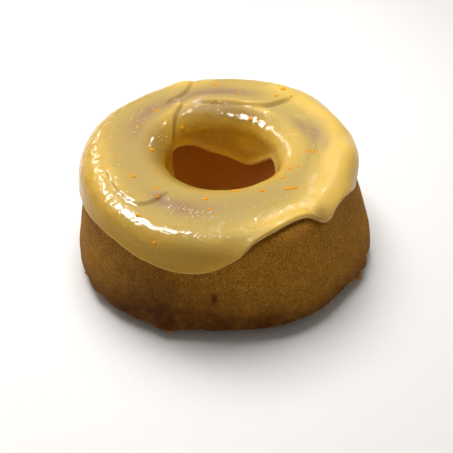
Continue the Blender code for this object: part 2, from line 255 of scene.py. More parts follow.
# Flecks of zest: (bearing, reach, length, width, turn) of the largest, then a rule for small ones.
LARGE_FLECKS = (
    (315.5, 3.6, 4.4, 1.4, -30),
    (313.0, 0.4, 2.2, 1.7, 0),
    (352, 8, 3.0, 1.9, 0),
    (301, -8, 2.5, 1.7, 15),
    (283, -13, 3.6, 1.4, 5),
    (262, -6, 2.5, 1.5, 170),
    (335, -12.5, 2.2, 1.5, 30),
    (322, -10.5, 2.2, 1.4, 150),
    (60, -16, 2.8, 2.2, 60),
    (57.5, 17, 3.2, 2.2, 20),
    (56, 7, 2.4, 1.3, 0),
    (95.5, 16.5, 2.6, 1.9, 10),
    (80, 4, 2.6, 1.4, 0),
    (140, 4, 2.4, 1.4, 160),
    (184, -14, 3.0, 1.5, 70),
    (133, -20, 2.8, 2.2, 90),
    (213, 10, 2.9, 1.7, 170),
    (229, 1, 2.2, 1.5, 40),
    (235, 24, 2.4, 1.5, 20),
    (337, 22, 2.2, 1.5, 75),
    (246, 32, 2.0, 1.4, 0),
)
FLECK_THICKNESS = 0.9
SMALL_FLECK_COUNT = 10
SMALL_FLECK_LENGTH = (1.4, 2.0)
SMALL_FLECK_WIDTH = 1.2
SMALL_FLECK_REACH = (-10.0, 20.0)
FLECK_SEED = 7
GOLDEN_ANGLE = 137.5

# From here on the values are the looks' own. How far before and behind its edge each fold rises, which is
# gentler than in the model, and how often the corners of its route are cut.
FOLD_RISES = ((-0.8, 2.6), (-0.8, 2.4), (-1.0, 2.7), (-0.7, 1.9))
FOLD_EASINGS = 2

# Mesh fineness: rings round the cake and stations on each.
ICING_RINGS = 560
ICING_STATIONS = (38, 52, 46)
ICING_UNDER_STATIONS = (8, 4, 10)
ICING_FLAT = (17.0, -9.0)
ROUNDING_STATIONS = 7
ROUNDING_SWEEP = 80
SPONGE_RINGS = 600
SPONGE_STATIONS = {"side": 70, "shoulder": 12, "top": 8, "lip": 8, "wall": 34, "foot": 9}

# Fine relief in layers of noise: (height, size of its lumps, seed). The icing's ripples also have, second,
# the height that they gain where its skin is wrinkled. The crust's roughness fades in past the icing's edge
# and off the ground, and is less in the hole.
CRUST_ROUGHNESS = ((0.30, 9.0, 1), (0.16, 3.5, 2), (0.10, 1.7, 3))
FOOT_ROUGHNESS = ((0.7, 5.0, 4), (0.35, 2.2, 5))
FOOT_ROUGH_FADE = (3.0, 12.0)
ICING_RIPPLES = ((0.28, 0.0, 17.0, 6), (0.10, 0.14, 6.0, 7), (0.02, 0.07, 2.4, 8))
HOLE_ROUGH_SHARE = 0.6
BARE_EDGE = (-1.0, 2.0)
GROUND_FADE = (0.0, 2.0)

# Where the crust is darker towards its foot, from browning and painted shade, and has painted shadow just
# below the icing, and where the icing counts as thick, as its rim, as hanging down the side with painted
# shade and as running down the hole with painted bounce light.
FOOT_BROWN_AND_SHADE_FADE = (2.0, 30.0)
FOOT_BROWN_AND_SHADE_SHARE = 0.75
SHADOW_UNDER_ICING_WIDTH = 2.2
THICK_DEPTHS = (2.0, 6.0)
THICK_SHARE = 0.35
RIM_WIDTH = 1.2
HANG_REACHES = (21.0, 38.0)
HOLE_REACHES = (7.0, 22.0)

# Where the sponge shows mauve through thin icing: (bearing, reach, half length, half width, amount).
SHOW_THROUGH = (
    (103, 8, 18, 4.6, 1.0),
    (82, 5, 16, 4.2, 0.9),
    (95, -11, 22, 3.8, 1.0),
    (124, 2.6, 8, 3.0, 1.2),
    (141, 8, 13, 5.5, 0.75),
    (158, 4, 15, 6.5, 0.55),
    (172, 4, 40, 16, 0.3),
    (249, 6.5, 15, 6.5, 1.0),
    (236, 8, 6, 4, 0.6),
    (265, 1, 14, 6, 0.2),
    (285, 0, 24, 8, 0.15),
    (24, 1, 9, 4, 0.75),
    (12, 8, 13, 4.4, 0.85),
    (0, 15, 9, 4, 0.5),
)
# Where the icing is rich and yellow, as the patches above; the last, on the hole's right lip, is partly
# painted light, where pale icing is brightly lit.
RICH_AND_LIT = (
    (121, -4, 6, 2.6, 0.8),
    (133, -9, 9, 3.0, 0.6),
    (150, -17, 10, 3.5, 0.4),
    (110, 22, 18, 5, 0.7),
    (352, 24, 70, 9, 1.0),
    (46, 18, 30, 11, 1.0),
    (322, 15, 26, 10, 0.42),
    (296, 19, 20, 6, 0.9),
    (262, 33, 30, 9, 0.5),
    (205, 30, 70, 9, 0.7),
    (12, -9, 26, 6, 0.5),
    (60, -6.2, 13, 2.2, 0.9),
    (86, -7.2, 14, 1.7, 0.5),
    (2, -21, 20, 8, 1.0),
)
# Painted shade, where the icing is darkest, over the hole's lip and in dips, as the patches above.
ICING_SHADE = (
    (168, -15, 24, 7, 0.8),
    (189, -20, 12, 5, 0.5),
    (95, -16, 27, 5.0, 1.0),
    (70, -15, 12, 4.5, 0.8),
    (311, 26.5, 6, 3.5, 0.9),
    (259, 33, 12, 4, 0.4),
    (222, -15.5, 22, 3.5, 0.8),
    (250, -15, 12, 2.5, 0.5),
)
# Where the painted shade of hanging icing and the painted bounce light down the hole are left off, so the
# icing stays pale, as (bearing, half width, amount).
PALE_HANG = ((352, 28, 0.8),)
PALE_HOLE = ((2, 24, 0.9),)
# Where the icing's skin dried wrinkled and holds air bubbles, as the patches above.
WRINKLED = (
    (250, 8, 22, 9, 0.7),
    (238, 25, 34, 6, 0.75),
    (208, 25, 20, 7, 0.7),
    (180, 25, 30, 7, 0.8),
    (150, 14, 26, 8, 0.5),
    (96, -12, 24, 6, 0.4),
    (52, -11, 20, 6, 1.0),
    (20, -12, 20, 6, 1.0),
    (14, 8, 18, 6, 0.4),
    (285, 12, 26, 10, 0.4),
    (122, 4, 10, 6, 0.8),
)
# Where thick icing dried to a satin skin, as the patches above.
SATIN = (
    (345, 26, 60, 12, 1.0),
    (18, 18, 34, 12, 0.9),
    (55, 20, 24, 10, 0.7),
    (110, -4.5, 10, 3.6, 1.0),
)
# Clusters of small air bubbles in the skin: (bearing, reach, half length, half width, count).
BUBBLE_CLUSTERS = (
    (249, 7, 13, 4.5, 30),
    (228, 13, 14, 5, 12),
    (157, 7, 17, 5, 18),
    (165, 24, 26, 2.2, 16),
    (264, 23.4, 22, 1.8, 12),
    (97, -7.6, 18, 1.2, 20),
    (52, -7, 12, 1.5, 12),
    (20, -10, 12, 1.5, 10),
    (121, 4, 6, 3.0, 10),
    (12, 6, 13, 4, 10),
    (292, 8, 20, 6, 10),
    (165, -17, 8, 2.0, 6),
)
BUBBLE_WIDTHS = (0.6, 1.3)
BUBBLE_RISE = 0.45
BUBBLE_SEED = 5
CLUSTER_TIGHTNESS = 1.6
# Flaps and flakes of torn crust: (bearing, height, (length, width, thickness), turn), then a rule for crumbs.
CRUST_FLAKES = (
    (329.0, 6.5, (4.6, 2.4, 6.0), 20),
    (331.5, 5.0, (3.0, 1.6, 4.6), 70),
    (326.5, 4.5, (2.6, 1.8, 3.4), 120),
    (288.5, 61.5, (4.2, 1.6, 1.0), 10),
    (291.5, 62.5, (3.0, 1.2, 0.9), 160),
    (253, 5.0, (5.0, 3.0, 2.6), 0),
    (247, 3.5, (3.2, 2.2, 2.0), 40),
)
CRUMB_COUNT = 110
CRUMB_HEIGHTS = (1.0, 9.0)
CRUMB_LENGTHS = (0.9, 2.2)
CRUMB_SHAPE = (0.7, 0.5)
CRUMB_SEED = 9

# Zest and bubbles are seated on the icing nearest to a spot this far above the sponge, and crust on the
# sponge nearest to its widest radius. Each kind has its own unevenness and seed, and the zest is drawn
# longer and wider than in the model, so that it shows.
SEAT_LIFT = 2.5
PIP_FINENESS = 2
FLECK_STRETCH = (1.25, 1.5)
FLECK_JITTER, FLECK_SHAPE_SEED = 0.10, 11
BUBBLE_JITTER, BUBBLE_SHAPE_SEED = 0.03, 12
CRUMB_JITTER, CRUMB_SHAPE_SEED = 0.22, 13

# Darker patches of crust on the side: (bearing, height, half length, half height, amount). The two large
# ones round the front are painted shade, the two small ones at 268 are painted shade in small pits, and
# the rest are browner crust.
BROWN_AND_SHADE_PATCHES = (
    (249, 26, 34, 24, 0.7),
    (275, 14, 56, 18, 0.5),
    (268, 33, 1.6, 3.2, 0.8),
    (268, 21, 3.0, 1.8, 0.7),
    (286, 14, 8, 6, 0.25),
    (230, 20, 12, 6, 0.2),
    (318, 12, 10, 5, 0.25),
    (20, 18, 12, 7, 0.3),
    (95, 26, 14, 8, 0.3),
    (150, 15, 10, 6, 0.25),
)

CAMERA_PLACE = (0.001885, -0.330669, 0.308262)
CAMERA_RIGHT = (0.99988, 0.01064, 0.01135)
CAMERA_UP = (-0.01556, 0.68386, 0.72945)
SENSOR_WIDTH = 36.0
LENS = 51.66
FLOOR_HALF_SIZE = 6.0


def side_runs():
    """The (length, turn) runs of the outer profile, from the crown to the widest point."""
    lean = math.radians(SIDE_LEAN)
    curve_drop = SHOULDER_ROUND * (1 - math.sin(lean)) + BELLY_ROUND * math.sin(lean)
    wall = (TOP_HEIGHT - WIDEST_HEIGHT - curve_drop) / math.cos(lean)
    curve_across = SHOULDER_ROUND * math.cos(lean) + BELLY_ROUND * (1 - math.cos(lean))
    flat = WIDEST_RADIUS - CROWN_RADIUS - curve_across - wall * math.sin(lean)
    shoulder_turn = 90 - SIDE_LEAN
    return (
        (flat, 0.0),
        (SHOULDER_ROUND * math.radians(shoulder_turn), shoulder_turn),
        (wall, 0.0),
        (BELLY_ROUND * lean, SIDE_LEAN),
    )


def hole_runs():
    """The (length, turn) runs of the hole's profile, from the crown to the top of its foot."""
    lean = math.radians(HOLE_LEAN)
    fall = math.radians(LIP_FALL)
    lip_turn = 90 - HOLE_LEAN - LIP_FALL
    lip_across = LIP_ROUND * (math.cos(lean) - math.sin(fall))
    lip_drop = LIP_ROUND * (math.cos(fall) - math.sin(lean))
    flat = (CROWN_RADIUS - HOLE_RADIUS - lip_across) / math.cos(fall / 2)
    flat_drop = flat * math.sin(fall / 2)
    wall = (TOP_HEIGHT - flat_drop - lip_drop - HOLE_FOOT_HEIGHT) / math.cos(lean)
    return (
        (flat, LIP_FALL),
        (LIP_ROUND * math.radians(lip_turn), lip_turn),
        (wall, 0.0),
    )


SIDE_RUNS = side_runs()
HOLE_RUNS = hole_runs()


def follow(runs, reach):
    """How far across, how far down and at what slope a chain of runs is, at each reach along it."""
    across = np.zeros_like(reach)
    drop = np.zeros_like(reach)
    slope = np.zeros_like(reach)
    covered = 0.0
    start = 0.0
    for length, turn in runs:
        step = np.clip(reach - covered, 0.0, length)
        bend = math.radians(turn) / length
        if turn:
            across += (np.sin(start + bend * step) - math.sin(start)) / bend
            drop += (math.cos(start) - np.cos(start + bend * step)) / bend
        else:
            across += step * math.cos(start)
            drop += step * math.sin(start)
        slope += bend * step
        covered += length
        start += math.radians(turn)
    return across, drop, slope


def profile(reach, lift):
    """Radius and height of the points that lie a lift above the sponge's profile at each reach."""
    out_across, out_drop, out_slope = follow(SIDE_RUNS, np.maximum(reach, 0.0))
    in_across, in_drop, in_slope = follow(HOLE_RUNS, np.maximum(-reach, 0.0))
    slope = out_slope - in_slope
    radius = CROWN_RADIUS + out_across - in_across + lift * np.sin(slope)
    height = TOP_HEIGHT - out_drop - in_drop + lift * np.cos(slope)
    return radius, height


def smooth_step(value, low, high):
    """0 below low, 1 above high, and a smooth rise between them."""
    share = np.clip((value - low) / (high - low), 0.0, 1.0)
    return share * share * (3 - 2 * share)


def turn_between(bearing, centre):
    """The signed angle from centre to each bearing, the short way round."""
    return (bearing - centre + 180.0) % 360.0 - 180.0


def swell(bearing, swells):
    """The sum of (bearing, half width, amount) swells at each bearing."""
    total = np.zeros_like(bearing)
    for centre, half_width, amount in swells:
        total += amount * np.exp(-((turn_between(bearing, centre) / half_width) ** 2))
    return total


def place(bearing, radius, height):
    """Positions on the cake's uneven ring of points given by bearing, radius and height."""
    outward = smooth_step(radius, HOLE_RADIUS + LIP_ROUND, CROWN_RADIUS + LIP_ROUND)
    upward = smooth_step(height, *SWELL_BLEND)
    bulge = upward * swell(bearing, HIGH_SWELLS) + (1 - upward) * swell(bearing, LOW_SWELLS)
    radius = radius + outward * bulge + (1 - outward) * swell(bearing, HOLE_SWELLS)
    height = height * (1 + outward * swell(bearing, TOP_HEAVES) / TOP_HEIGHT)
    angle = np.radians(bearing)
    x = radius * np.cos(angle) + (1 - outward) * HOLE_OFFSET[0] + CAKE_OFFSET[0]
    y = radius * np.sin(angle) + (1 - outward) * HOLE_OFFSET[1] + CAKE_OFFSET[1]
    return np.stack([x, y, height], axis=-1)


def round_curve(points, bearing):
    """A smooth closed curve through (bearing, value) points, read at each bearing."""
    knots = np.array([point[0] for point in points], dtype=float)
    values = np.array([point[1] for point in points], dtype=float)
    spots = (knots - knots[0]) % 360.0
    gaps = np.diff(np.append(spots, 360.0))
    slopes = (np.roll(values, -1) - np.roll(values, 1)) / (gaps + np.roll(gaps, 1))
    offset = (bearing - knots[0]) % 360.0
    before = np.searchsorted(spots, offset, side="right") - 1
    after = (before + 1) % len(points)
    share = (offset - spots[before]) / gaps[before]
    blend = share * share * (3 - 2 * share)
    start_pull = gaps[before] * slopes[before] * share * (1 - share) ** 2
    end_pull = gaps[before] * slopes[after] * share**2 * (share - 1)
    return values[before] * (1 - blend) + values[after] * blend + start_pull + end_pull


def map_offset(bearing, reach, centre_bearing, centre_reach):
    """Millimetres round the cake and millimetres of reach from a centre to each point."""
    radius, _ = profile(np.array(float(centre_reach)), 0.0)
    around = turn_between(bearing, centre_bearing) * math.radians(1.0) * radius
    return around, reach - centre_reach


def patches(bearing, reach, table):
    """The sum of (bearing, reach, half length, half width, amount) patches."""
    total = np.zeros_like(reach)
    for centre_bearing, centre_reach, half_length, half_width, amount in table:
        around, outward = map_offset(bearing, reach, centre_bearing, centre_reach)
        total += amount * np.exp(-((around / half_length) ** 2) - (outward / half_width) ** 2)
    return total


def eased(route):
    """A route with its corners cut, so that it bends smoothly."""
    for _ in range(FOLD_EASINGS):
        points = [route[0]]
        for start, end in zip(route[:-1], route[1:]):
            points += [tuple(a + (b - a) * share for a, b in zip(start, end)) for share in (0.25, 0.75)]
        route = points + [route[-1]]
    return route


def fold_depth(bearing, reach, height, fall_length, route, rise):
    """How much one fold adds to the icing: a rounded step at its edge, then a slow fall behind it."""
    nearest = np.full_like(reach, np.inf)
    behind = np.zeros_like(reach)
    position = np.zeros_like(reach)
    covered = 0.0
    for start, end in zip(route[:-1], route[1:]):
        edge_around, edge_outward = map_offset(end[0], end[1], start[0], start[1])
        around, outward = map_offset(bearing, reach, start[0], start[1])
        length = math.hypot(edge_around, edge_outward)
        share = np.clip((around * edge_around + outward * edge_outward) / length**2, 0.0, 1.0)
        distance = np.hypot(around - share * edge_around, outward - share * edge_outward)
        side = np.sign(edge_around * outward - edge_outward * around)
        closer = distance < nearest
        nearest = np.where(closer, distance, nearest)
        behind = np.where(closer, side * distance, behind)
        position = np.where(closer, covered + share * length, position)
        covered += length
    step = smooth_step(behind, *rise)
    fall = np.exp(-((np.maximum(behind, 0.0) / fall_length) ** 2))
    end_length = FOLD_TAPER * covered
    taper = smooth_step(position, 0.0, end_length) * smooth_step(covered - position, 0.0, end_length)
    return height * step * fall * taper


def icing_edges(bearing):
    """The reach of the icing's outer and inner edge at each bearing."""
    return round_curve(OUTER_EDGE, bearing), round_curve(INNER_EDGE, bearing)


def icing_depth(bearing, reach):
    """How thick the icing is, away from the rounding of its two edges."""
    outer_reach, inner_reach = icing_edges(bearing)
    depth = ICING_FILM + patches(bearing, reach, ICING_POOLS)
    for (height, fall_length, route), rise in zip(ICING_FOLDS, FOLD_RISES):
        depth += fold_depth(bearing, reach, height, fall_length, eased(route), rise)
    from_edge = np.minimum(outer_reach - reach, reach - inner_reach)
    depth += EDGE_BEAD * np.exp(-((from_edge / EDGE_BEAD_WIDTH) ** 2))
    return np.maximum(depth, THINNEST_ICING)


def on_cake(bearing, reach, lift):
    """Positions a lift above the sponge's surface."""
    radius, height = profile(reach, lift)
    return place(bearing, radius, height)


def lumps(points, size, seed):
    """Smooth noise between about -1 and 1 at each point, with lumps of one size in millimetres."""
    shift = Vector((31.7, 17.3, 7.9)) * seed
    flat = points.reshape(-1, 3) / size
    return np.array([noise.noise(Vector(point) + shift) for point in flat]).reshape(points.shape[:-1])


def layered(points, layers):
    """The sum of (height, size, seed) layers of noise at each point."""
    return sum(height * lumps(points, size, seed) for height, size, seed in layers)


def smooth_piece(name, shape):
    """A smooth-shaded piece in the scene, made of a bmesh, which is used up."""
    bmesh.ops.recalc_face_normals(shape, faces=shape.faces)
    mesh = bpy.data.meshes.new(name)
    shape.to_mesh(mesh)
    shape.free()
    mesh.shade_smooth()
    piece = bpy.data.objects.new(name, mesh)
    bpy.context.scene.collection.objects.link(piece)
    return piece


def ring_mesh(name, points, facts):
    """A sheet rolled into a closed ring at points[ring, station], where each vertex keeps its facts."""
    rings, stations = points.shape[:2]
    ring = bmesh.new()
    layers = {fact: ring.verts.layers.float.new(fact) for fact in facts}
    bmesh.ops.create_grid(ring, x_segments=rings, y_segments=stations, size=0.5)
    for vert in ring.verts:
        which_ring = round((vert.co.x + 0.5) * rings) % rings
        which_station = round((vert.co.y + 0.5) * stations) % stations
        vert.co = points[which_ring, which_station] * METRES
        for fact, values in facts.items():
            vert[layers[fact]] = values[which_ring, which_station]
    bmesh.ops.remove_doubles(ring, verts=ring.verts, dist=SEAM_GAP)
    return smooth_piece(name, ring)


def keep_inside(points):
    """Points held inside the model's own box."""
    low, high = (np.array(corner) / METRES for corner in model_box)
    return np.clip(points, low, high)


def ring_bearings(rings):
    """The bearing of each ring, as a column that stations run across."""
    return np.arange(rings)[:, None] * 360.0 / rings


def sponge_section():
    """Radius and height round the sponge's section, and the reach where it follows the profile."""
    counts = SPONGE_STATIONS
    flat, shoulder, wall, belly = (length for length, turn in SIDE_RUNS)
    hole_flat, lip, hole_wall = (length for length, turn in HOLE_RUNS)
    reach = np.concatenate([
        np.linspace(flat + shoulder + wall + belly, flat + shoulder, counts["side"])[:-1],
        np.linspace(flat + shoulder, flat, counts["shoulder"])[:-1],
        np.linspace(flat, -hole_flat, counts["top"])[:-1],
        np.linspace(-hole_flat, -hole_flat - lip, counts["lip"])[:-1],
        np.linspace(-hole_flat - lip, -hole_flat - lip - hole_wall, counts["wall"]),
    ])
    radius, height = profile(reach, 0.0)
    hole_foot = np.radians(np.linspace(0, 90, counts["foot"]))[1:]
    foot = np.radians(np.linspace(90, 0, counts["foot"]))[:-1]
    radius = np.concatenate([
        radius,
        radius[-1] + HOLE_FOOT_FLARE * (1 - np.cos(hole_foot)),
        FOOT_RADIUS + (WIDEST_RADIUS - FOOT_RADIUS) * np.cos(foot),
    ])
    height = np.concatenate([
        height,
        HOLE_FOOT_HEIGHT * (1 - np.sin(hole_foot)),
        WIDEST_HEIGHT * (1 - np.sin(foot)),
    ])
    below_hole = np.full_like(hole_foot, reach[-1])
    below_side = np.full_like(foot, reach[0])
    return np.concatenate([reach, below_hole, below_side]), radius, height


def crumb_relief(bearing, height):
    """How far the rough lower side of the sponge stands out: batter lumps and crags."""
    crags = np.zeros_like(bearing)
    for count in CRAG_WAVES:
        crags += np.sin(np.radians(count * bearing) + count) / len(CRAG_WAVES)
    low = 1 - smooth_step(height, *CRAG_FADE)
    off_ground = smooth_step(height, 0.0, CRAG_FADE[0])
    return off_ground * low * (swell(bearing, FOOT_LUMPS) + CRAG_DEPTH * crags)


def make_sponge():
    """The sponge ring, with crags and crumb in its surface and numbers for how brown its crust is, where it
    gets painted shade and a painted shadow, and where it is in the hole.
    """
    reach, radius, height = sponge_section()
    bearing = ring_bearings(SPONGE_RINGS) + np.zeros_like(radius)
    reach, radius, height = (values + np.zeros_like(bearing) for values in (reach, radius, height))
    plain = place(bearing, radius, height)
    outer_reach, inner_reach = icing_edges(bearing)
    bare = np.maximum(
        smooth_step(reach - outer_reach, *BARE_EDGE), smooth_step(inner_reach - reach, *BARE_EDGE)
    )
    standing = smooth_step(height, *GROUND_FADE)
    rough = layered(plain, CRUST_ROUGHNESS)
    craggy = (1 - smooth_step(height, *FOOT_ROUGH_FADE)) * layered(plain, FOOT_ROUGHNESS)
    on_side = smooth_step(radius, CROWN_RADIUS, FOOT_RADIUS)
    in_hole = 1 - smooth_step(radius, HOLE_RADIUS, HOLE_RADIUS + LIP_ROUND)
    out = on_side * (crumb_relief(bearing, height) + standing * bare * (rough + craggy))
    out -= in_hole * standing * bare * HOLE_ROUGH_SHARE * rough
    points = keep_inside(place(bearing, radius + out, height))
    # Darker towards the foot and in patches, from browning and painted shade, and a painted shadow just below
    # the icing's edge.
    foot_brown_and_shade = 1 - smooth_step(height, *FOOT_BROWN_AND_SHADE_FADE)
    browned_and_shaded = np.clip(FOOT_BROWN_AND_SHADE_SHARE * foot_brown_and_shade + patches_on_side(bearing, height), 0, 1)
    shadow_under_icing = np.exp(-((np.maximum(reach - outer_reach, 0.0) / SHADOW_UNDER_ICING_WIDTH) ** 2))
    return ring_mesh("sponge_ring", points, {"browned_and_shaded": browned_and_shaded, "shadow_under_icing": shadow_under_icing, "in_hole": in_hole})


def patches_on_side(bearing, height):
    """How dark the patches of the side are, from browning and painted shade."""
    total = np.zeros_like(bearing)
    for centre, middle, half_length, half_height, amount in BROWN_AND_SHADE_PATCHES:
        around = turn_between(bearing, centre) * math.radians(1.0) * WIDEST_RADIUS
        total += amount * np.exp(-((around / half_length) ** 2) - ((height - middle) / half_height) ** 2)
    return total


def icing_reaches(outer_end, inner_end, counts):
    """Reaches from the outer to the inner end: down the side, over the flat top and down the hole."""
    outer_flat, inner_flat = ICING_FLAT
    side_count, flat_count, hole_count = counts
    down_side = np.linspace(0, 1, side_count + 1)[:-1]
    over_flat = np.linspace(0, 1, flat_count + 1)[:-1]
    down_hole = np.linspace(0, 1, hole_count + 1)
    side = outer_end + (outer_flat - outer_end) * down_side
    flat = outer_flat + (inner_flat - outer_flat) * over_flat + np.zeros_like(outer_end)
    hole = inner_flat + (inner_end - inner_flat) * down_hole
    return np.concatenate([side, flat, hole], axis=1)


def edge_rounding(end, depth, way):
    """Reach and lift of the stations that round one edge of the icing, seen from its lower side up."""
    angles = np.radians(np.linspace(-ROUNDING_SWEEP, ROUNDING_SWEEP, ROUNDING_STATIONS))
    reach = end + way * EDGE_ROUND * np.cos(angles)
    lift = depth * (1 + np.sin(angles)) / 2
    return reach, lift


def make_icing():
    """The coat of icing, with numbers for how thin it is, how deeply pooled and how near its edge, where it
    gets painted shade, painted bounce light and painted light, and where it is wrinkled and satin.
    """
    bearing = ring_bearings(ICING_RINGS)
    outer_reach, inner_reach = icing_edges(bearing)
    outer_end = outer_reach - EDGE_ROUND
    inner_end = inner_reach + EDGE_ROUND
    over = icing_reaches(outer_end, inner_end, ICING_STATIONS)
    under = icing_reaches(outer_end, inner_end, ICING_UNDER_STATIONS)[:, ::-1]
    spots = on_cake(bearing, over, 0.0)
    wrinkled = np.clip(patches(bearing, over, WRINKLED), 0, 1)
    ripple = sum(
        (height + gain * wrinkled) * lumps(spots, size, seed) for height, gain, size, seed in ICING_RIPPLES
    )
    over_lift = ICING_GAP + icing_depth(bearing, over) + ripple
    outer_round, outer_lift = edge_rounding(outer_end, over_lift[:, :1], 1)
    inner_round, inner_lift = edge_rounding(inner_end, over_lift[:, -1:], -1)
    reach = np.concatenate([outer_round, over, inner_round[:, ::-1], under], axis=1)
    lift = np.concatenate([outer_lift, over_lift, inner_lift[:, ::-1], np.zeros_like(under)], axis=1)
    points = keep_inside(on_cake(bearing, reach, lift))
    from_edge = np.minimum(outer_reach - reach, reach - inner_reach)
    depth = icing_depth(bearing, reach)
    pooled = THICK_SHARE * smooth_step(depth, *THICK_DEPTHS)
    facts = {
        "thin": np.clip(patches(bearing, reach, SHOW_THROUGH), 0, 1),
        "thick_and_lit": np.clip(pooled + patches(bearing, reach, RICH_AND_LIT), 0, 1),
        "painted_shade": np.clip(patches(bearing, reach, ICING_SHADE), 0, 1),
        "rim": np.exp(-((from_edge / RIM_WIDTH) ** 2)),
        # Painted shade where the icing hangs down the side, and painted bounce light where it runs down the
        # hole.
        "hang_shade": smooth_step(reach, *HANG_REACHES) * (1 - swell(bearing, PALE_HANG)),
        "down_hole": smooth_step(-reach, *HOLE_REACHES) * (1 - swell(bearing, PALE_HOLE)),
        "wrinkled": np.clip(patches(bearing, reach, WRINKLED), 0, 1),
        "satin": np.clip(patches(bearing, reach, SATIN), 0, 1),
    }
    return ring_mesh("icing_coat", points, facts)


def fleck_places():
    """The (bearing, reach, length, width, turn) of every fleck of zest."""
    draw = random.Random(FLECK_SEED)
    places = list(LARGE_FLECKS)
    for number in range(SMALL_FLECK_COUNT):
        bearing = (number * GOLDEN_ANGLE + draw.uniform(-12, 12)) % 360
        reach = draw.uniform(*SMALL_FLECK_REACH)
        length = draw.uniform(*SMALL_FLECK_LENGTH)
        turn = draw.uniform(0, 180)
        places.append((bearing, reach, length, SMALL_FLECK_WIDTH, turn))
    return places


def fleck_pips():
    """The flecks of zest, as lumps to seat on the icing."""
    stretch_length, stretch_width = FLECK_STRETCH
    pips = []
    for bearing, reach, length, width, turn in fleck_places():
        spot = on_cake(np.array(float(bearing)), np.array(float(reach)), SEAT_LIFT)
        sizes = (stretch_length * length, stretch_width * width, FLECK_THICKNESS)
        pips.append((bearing, spot, sizes, turn))
    return pips


def bubble_pips():
    """Small domes of air in the icing's skin, in clusters."""
    draw = random.Random(BUBBLE_SEED)
    pips = []
    for centre, middle, half_length, half_width, count in BUBBLE_CLUSTERS:
        radius, _ = profile(np.array(float(middle)), 0.0)
        for _ in range(count):
            around = draw.gauss(0, half_length / CLUSTER_TIGHTNESS)
            bearing = centre + math.degrees(around / radius)
            reach = middle + draw.gauss(0, half_width / CLUSTER_TIGHTNESS)
            spot = on_cake(np.array(bearing), np.array(reach), SEAT_LIFT)
            width = draw.uniform(*BUBBLE_WIDTHS)
            pips.append((bearing, spot, (width, width, BUBBLE_RISE * width), 0.0))
    return pips


def crumb_pips():
    """Torn flaps and flakes of crust at named places, then loose crumbs round the foot."""
    draw = random.Random(CRUMB_SEED)
    pips = []
    for bearing, height, sizes, turn in CRUST_FLAKES:
        spot = place(np.array(float(bearing)), np.array(WIDEST_RADIUS), np.array(float(height)))
        pips.append((bearing, spot, sizes, turn))
    for _ in range(CRUMB_COUNT):
        bearing = draw.uniform(0, 360)
        height = draw.uniform(*CRUMB_HEIGHTS)
        spot = place(np.array(bearing), np.array(WIDEST_RADIUS), np.array(height))
        length = draw.uniform(*CRUMB_LENGTHS)
        width, thickness = (share * length for share in CRUMB_SHAPE)
        pips.append((bearing, spot, (length, width, thickness), draw.uniform(0, 180)))
    return pips


def surface_of(piece):
    """A tree for the nearest points on a piece's surface."""
    corners = [vertex.co for vertex in piece.data.vertices]
    return BVHTree.FromPolygons(corners, [face.vertices for face in piece.data.polygons])


def seat(tree, bearing, spot):
    """The nearest surface place to a spot in millimetres, and the axes (around, inward, up) there."""
    here, up, _, _ = tree.find_nearest(Vector(spot) * METRES)
    angle = math.radians(bearing)
    inward = up.cross(Vector((-math.sin(angle), math.cos(angle), 0.0))).normalized()
    return here, Matrix((inward.cross(up), inward, up)).transposed()


def scatter_pips(name, tree, pips, jitter, seed):
    """One piece of many small lumps: each pip is (bearing, spot, (length, width, height), turn)."""
    draw = random.Random(seed)
    together = bmesh.new()
    for bearing, spot, sizes, turn in pips:
        here, axes = seat(tree, bearing, spot)
        shape = Matrix.Diagonal([size / 2 for size in sizes]) * METRES
        turned = (axes @ Matrix.Rotation(math.radians(turn), 3, "Z") @ shape).to_4x4()
        turned.translation = here
        made = bmesh.ops.create_icosphere(together, subdivisions=PIP_FINENESS, radius=1.0)
        for vert in made["verts"]:
            vert.co *= 1 + jitter * draw.uniform(-1, 1)
        bmesh.ops.transform(together, matrix=turned, verts=made["verts"])
    return smooth_piece(name, together)


def hex_colour(text):
    """A linear colour from an sRGB hex value."""
    channels = [int(text[start:start + 2], 16) / 255 for start in (1, 3, 5)]
    linear = [c / 12.92 if c <= 0.04045 else ((c + 0.055) / 1.055) ** 2.4 for c in channels]
    return (*linear, 1.0)


def add_node(tree, kind, settings, links=()):
    """Add a node; settings set its properties or its sockets, and links join outputs to its sockets."""
    made = tree.nodes.new(kind)
    for name, value in settings.items():
        if isinstance(name, str) and hasattr(made, name):
            setattr(made, name, value)
        else:
            made.inputs[name].default_value = value
    for name, output in dict(links).items():
        tree.links.new(output, made.inputs[name])
    return made


def new_material(name):
    """An empty material, its shader and its object coordinates."""
    material = bpy.data.materials.new(name)
    material.use_nodes = True
    tree = material.node_tree
    shader = tree.nodes["Principled BSDF"]
    spots = add_node(tree, "ShaderNodeTexCoord", {}).outputs["Object"]
    return material, tree, shader, spots


